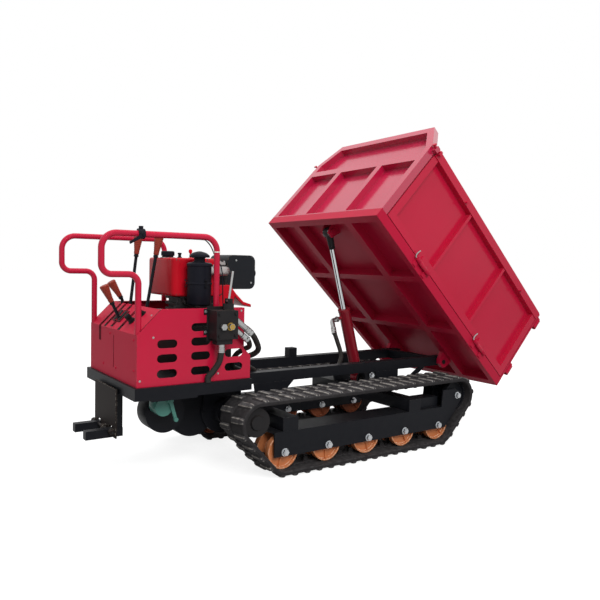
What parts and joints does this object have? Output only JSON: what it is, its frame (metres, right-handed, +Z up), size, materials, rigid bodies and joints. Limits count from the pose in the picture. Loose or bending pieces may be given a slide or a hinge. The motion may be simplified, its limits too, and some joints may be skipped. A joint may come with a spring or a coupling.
{
  "type": "tracked mini dumper",
  "caption": "Walk-behind tracked mini dumper with a hydraulic tipping bed, drop side gates, rubber belts on orange rollers, red engine cover, control levers and a folding operator step.",
  "frame": {"origin": "on the ground below the axle of the middle bottom roller, midway between the two belts; within 15 mm of the middle of the box's base", "axes": "+X forward to the bed's front gate, +Y to the machine's left, +Z up"},
  "size_m": [2.5159, 0.996, 1.6424],
  "materials": {
    "black_paint": "satin black paint with dust",
    "track_rubber": "dusty matt rubber",
    "zinc_steel": "zinc plated steel",
    "orange_paint": "satin orange paint",
    "dark_iron": "dark cast iron",
    "teal_paint": "gloss teal paint",
    "engine_red": "gloss red paint",
    "black_plastic": "moulded black plastic",
    "dark_muffler": "heat resistant black paint",
    "cast_aluminium": "bare cast aluminium",
    "red_paint": "semi-gloss red powder coat",
    "black_rod": "black painted steel rod",
    "hose_rubber": "black rubber hose cover",
    "chrome_rod": "polished hard chrome",
    "dark_steel": "worn dark painted steel"
  },
  "bodies": {
    "chassis": {"main_frame": "black_paint", "cross_beams": "black_paint", "track_frame_right": "black_paint", "track_frame_left": "black_paint", "belt_right": "track_rubber", "belt_left": "track_rubber", "axles": "zinc_steel", "gearbox": "black_paint", "shift_housing": "teal_paint", "engine_block": "dark_iron", "fuel_tank": "engine_red", "air_filter": "black_plastic", "intake_elbow": "cast_aluminium", "muffler": "dark_muffler", "fan_shroud": "engine_red", "cover_right": "red_paint", "cover_left": "red_paint", "console": "red_paint", "handle_right": "red_paint", "handle_left": "red_paint", "throttle_clamp": "black_plastic", "throttle_cable": "black_plastic", "valve_body": "dark_iron", "valve_fittings": "zinc_steel", "hose_base": "hose_rubber", "hose_upper": "hose_rubber", "hose_tank": "hose_rubber", "pivot_pins": "zinc_steel"},
    "bed": {"bed_floor": "red_paint", "headboard": "red_paint"},
    "side_gate_right": {"side_gate_right": "red_paint"},
    "side_gate_left": {"side_gate_left": "red_paint"},
    "front_gate": {"front_gate": "red_paint"},
    "latch_right": {"latch_right": "red_paint"},
    "latch_left": {"latch_left": "red_paint"},
    "lift_barrel": {"lift_barrel": "red_paint"},
    "lift_rod": {"lift_rod": "chrome_rod"},
    "sprocket_right": {"sprocket_right": "dark_iron"},
    "idler_right": {"idler_right": "black_paint"},
    "roller_right_1": {"roller_right_1": "orange_paint"},
    "roller_right_2": {"roller_right_2": "orange_paint"},
    "roller_right_3": {"roller_right_3": "orange_paint"},
    "roller_right_4": {"roller_right_4": "orange_paint"},
    "roller_right_5": {"roller_right_5": "orange_paint"},
    "sprocket_left": {"sprocket_left": "dark_iron"},
    "idler_left": {"idler_left": "black_paint"},
    "roller_left_1": {"roller_left_1": "orange_paint"},
    "roller_left_2": {"roller_left_2": "orange_paint"},
    "roller_left_3": {"roller_left_3": "orange_paint"},
    "roller_left_4": {"roller_left_4": "orange_paint"},
    "roller_left_5": {"roller_left_5": "orange_paint"},
    "lever_1": {"lever_1": "black_rod"},
    "lever_2": {"lever_2": "black_rod"},
    "lever_3": {"lever_3": "black_rod"},
    "lever_4": {"lever_4": "black_rod"},
    "valve_lever": {"valve_lever": "zinc_steel"},
    "throttle_lever": {"throttle_lever": "black_plastic"},
    "shift_arm": {"shift_arm": "teal_paint"},
    "fuel_cap": {"fuel_cap": "black_plastic"},
    "step_plate": {"step_plate": "dark_steel"}
  },
  "joints": [
    {"name": "bed_tip", "type": "hinge", "parent": "chassis", "child": "bed", "pos_m": [0.719, 0, 0.395], "axis": [0, 1, 0], "range_deg": [-43.7, 0]},
    {"name": "side_gate_right_drop", "type": "hinge", "parent": "bed", "child": "side_gate_right", "pos_m": [0.42813, -0.481, 0.7767], "axis": [0.723, 0, -0.6909], "range_deg": [0, 110]},
    {"name": "side_gate_left_drop", "type": "hinge", "parent": "bed", "child": "side_gate_left", "pos_m": [0.42813, 0.481, 0.7767], "axis": [-0.723, 0, 0.6909], "range_deg": [0, 110]},
    {"name": "front_gate_lift", "type": "slide", "parent": "bed", "child": "front_gate", "axis": [0.6909, 0, 0.723], "range_m": [0, 0.12]},
    {"name": "latch_right_bolt", "type": "slide", "parent": "bed", "child": "latch_right", "axis": [0.723, 0, -0.6909], "range_m": [0, 0.012]},
    {"name": "latch_left_bolt", "type": "slide", "parent": "bed", "child": "latch_left", "axis": [0.723, 0, -0.6909], "range_m": [0, 0.012]},
    {"name": "lift_swing", "type": "hinge", "parent": "chassis", "child": "lift_barrel", "pos_m": [0.275, 0, 0.31], "axis": [0, 1, 0], "range_deg": [-59.98, 0], "deforming": ["hose_base", "hose_upper"]},
    {"name": "lift_slide", "type": "slide", "parent": "lift_barrel", "child": "lift_rod", "axis": [-0.272, 0, 0.9623], "range_m": [-0.279, 0]},
    {"name": "drive_right", "type": "hinge", "parent": "chassis", "child": "sprocket_right", "pos_m": [-0.615, -0.345, 0.25], "axis": [0, 1, 0], "continuous": true},
    {"name": "idler_right_turn", "type": "hinge", "parent": "chassis", "child": "idler_right", "pos_m": [0.62, -0.345, 0.25], "axis": [0, 1, 0], "continuous": true},
    {"name": "roller_right_1_turn", "type": "hinge", "parent": "chassis", "child": "roller_right_1", "pos_m": [-0.48, -0.345, 0.107], "axis": [0, 1, 0], "continuous": true},
    {"name": "roller_right_2_turn", "type": "hinge", "parent": "chassis", "child": "roller_right_2", "pos_m": [-0.24, -0.345, 0.107], "axis": [0, 1, 0], "continuous": true},
    {"name": "roller_right_3_turn", "type": "hinge", "parent": "chassis", "child": "roller_right_3", "pos_m": [0, -0.345, 0.107], "axis": [0, 1, 0], "continuous": true},
    {"name": "roller_right_4_turn", "type": "hinge", "parent": "chassis", "child": "roller_right_4", "pos_m": [0.24, -0.345, 0.107], "axis": [0, 1, 0], "continuous": true},
    {"name": "roller_right_5_turn", "type": "hinge", "parent": "chassis", "child": "roller_right_5", "pos_m": [0.48, -0.345, 0.107], "axis": [0, 1, 0], "continuous": true},
    {"name": "drive_left", "type": "hinge", "parent": "chassis", "child": "sprocket_left", "pos_m": [-0.615, 0.345, 0.25], "axis": [0, 1, 0], "continuous": true},
    {"name": "idler_left_turn", "type": "hinge", "parent": "chassis", "child": "idler_left", "pos_m": [0.62, 0.345, 0.25], "axis": [0, 1, 0], "continuous": true},
    {"name": "roller_left_1_turn", "type": "hinge", "parent": "chassis", "child": "roller_left_1", "pos_m": [-0.48, 0.345, 0.107], "axis": [0, 1, 0], "continuous": true},
    {"name": "roller_left_2_turn", "type": "hinge", "parent": "chassis", "child": "roller_left_2", "pos_m": [-0.24, 0.345, 0.107], "axis": [0, 1, 0], "continuous": true},
    {"name": "roller_left_3_turn", "type": "hinge", "parent": "chassis", "child": "roller_left_3", "pos_m": [0, 0.345, 0.107], "axis": [0, 1, 0], "continuous": true},
    {"name": "roller_left_4_turn", "type": "hinge", "parent": "chassis", "child": "roller_left_4", "pos_m": [0.24, 0.345, 0.107], "axis": [0, 1, 0], "continuous": true},
    {"name": "roller_left_5_turn", "type": "hinge", "parent": "chassis", "child": "roller_left_5", "pos_m": [0.48, 0.345, 0.107], "axis": [0, 1, 0], "continuous": true},
    {"name": "lever_1_swing", "type": "hinge", "parent": "chassis", "child": "lever_1", "pos_m": [-1.01, 0.16, 0.56], "axis": [0, 1, 0], "range_deg": [-14, 5]},
    {"name": "lever_2_swing", "type": "hinge", "parent": "chassis", "child": "lever_2", "pos_m": [-1.01, 0.101, 0.56], "axis": [0, 1, 0], "range_deg": [-14, 5]},
    {"name": "lever_3_swing", "type": "hinge", "parent": "chassis", "child": "lever_3", "pos_m": [-1.01, 0.027, 0.56], "axis": [0, 1, 0], "range_deg": [-8, 15]},
    {"name": "lever_4_swing", "type": "hinge", "parent": "chassis", "child": "lever_4", "pos_m": [-1.01, -0.073, 0.56], "axis": [0, 1, 0], "range_deg": [-14, 5]},
    {"name": "valve_lever_swing", "type": "hinge", "parent": "chassis", "child": "valve_lever", "pos_m": [-0.722, -0.33, 0.768], "axis": [0, 1, 0], "range_deg": [-15, 15]},
    {"name": "throttle_swing", "type": "hinge", "parent": "chassis", "child": "throttle_lever", "pos_m": [-1.089, -0.3025, 1.028], "axis": [0, 1, 0], "range_deg": [-20, 20]},
    {"name": "shift_swing", "type": "hinge", "parent": "chassis", "child": "shift_arm", "pos_m": [-0.941, -0.24, 0.35], "axis": [0, 1, 0], "range_deg": [-20, 20]},
    {"name": "fuel_cap_turn", "type": "hinge", "parent": "chassis", "child": "fuel_cap", "pos_m": [-0.845, 0.025, 0.945], "axis": [0, 0, 1], "range_deg": [0, 90]},
    {"name": "step_fold", "type": "hinge", "parent": "chassis", "child": "step_plate", "pos_m": [-1.146, 0, 0.215], "axis": [0, -1, 0], "range_deg": [0, 90]}
  ],
  "couplings": [
    {"joint": "lift_swing", "follows": "bed_tip", "ratio": 1.3713},
    {"joint": "lift_slide", "follows": "bed_tip", "m_per_rad": 0.3655},
    {"joint": "idler_right_turn", "follows": "drive_right", "ratio": 1},
    {"joint": "roller_right_1_turn", "follows": "drive_right", "ratio": 1.0897},
    {"joint": "roller_right_2_turn", "follows": "drive_right", "ratio": 1.0897},
    {"joint": "roller_right_3_turn", "follows": "drive_right", "ratio": 1.0897},
    {"joint": "roller_right_4_turn", "follows": "drive_right", "ratio": 1.0897},
    {"joint": "roller_right_5_turn", "follows": "drive_right", "ratio": 1.0897},
    {"joint": "idler_left_turn", "follows": "drive_left", "ratio": 1},
    {"joint": "roller_left_1_turn", "follows": "drive_left", "ratio": 1.0897},
    {"joint": "roller_left_2_turn", "follows": "drive_left", "ratio": 1.0897},
    {"joint": "roller_left_3_turn", "follows": "drive_left", "ratio": 1.0897},
    {"joint": "roller_left_4_turn", "follows": "drive_left", "ratio": 1.0897},
    {"joint": "roller_left_5_turn", "follows": "drive_left", "ratio": 1.0897}
  ]
}
